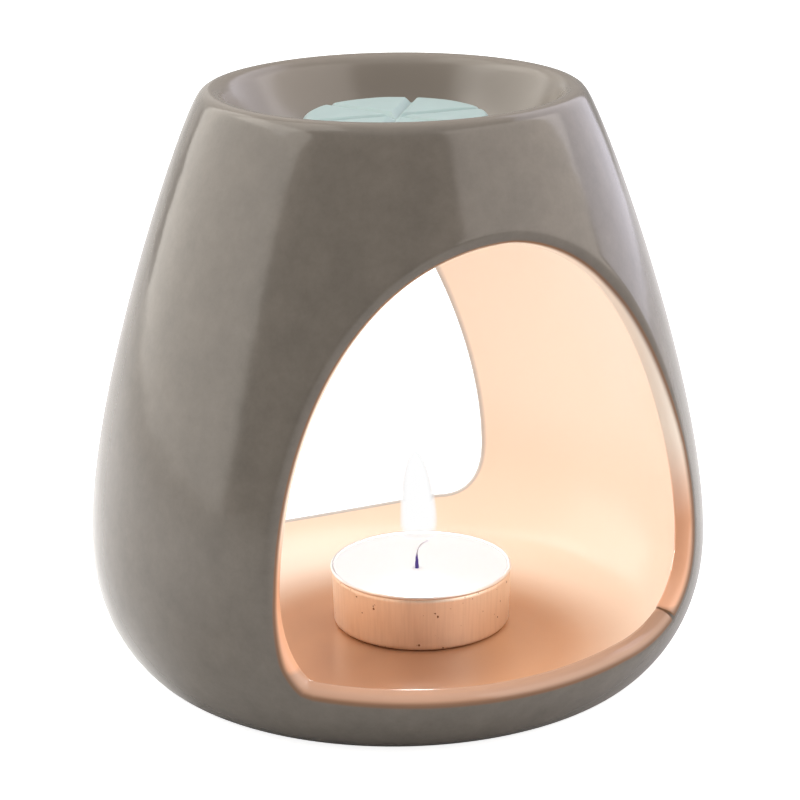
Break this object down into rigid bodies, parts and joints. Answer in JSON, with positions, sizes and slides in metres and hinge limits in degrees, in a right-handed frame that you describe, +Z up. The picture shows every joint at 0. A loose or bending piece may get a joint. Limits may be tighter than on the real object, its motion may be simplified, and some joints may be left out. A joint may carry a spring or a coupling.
{
  "type": "wax melt burner",
  "caption": "Egg-shaped glazed ceramic wax melt burner, open front and back, with a scented wax melt in its crown dish and a lit tealight inside.",
  "frame": {"origin": "centre of the flat foot on the table, on the body's turning axis", "axes": "+Z up along the turning axis; -Y out of the front opening; +X to the right of the front opening as seen from the front"},
  "size_m": [0.128, 0.119, 0.12],
  "materials": {
    "stoneware_glaze": "gloss",
    "mint_wax": "satin",
    "foil_aluminium": "bright",
    "white_wax": "satin",
    "wick_cotton": "matt",
    "tinplate": "satin"
  },
  "bodies": {
    "burner": {"ceramic_body": "stoneware_glaze"},
    "tealight": {"tealight_cup": "foil_aluminium", "candle_wax": "white_wax", "wick": "wick_cotton", "wick_sustainer": "tinplate"},
    "melt": {"wax_melt": "mint_wax"}
  },
  "joints": [
    {"name": "tealight_slide", "type": "slide", "parent": "burner", "child": "tealight", "axis": [0, -0.9397, 0.342], "range_m": [0, 0.095]},
    {"name": "melt_lift", "type": "slide", "parent": "burner", "child": "melt", "axis": [0, 0, 1], "range_m": [0, 0.03]}
  ]
}
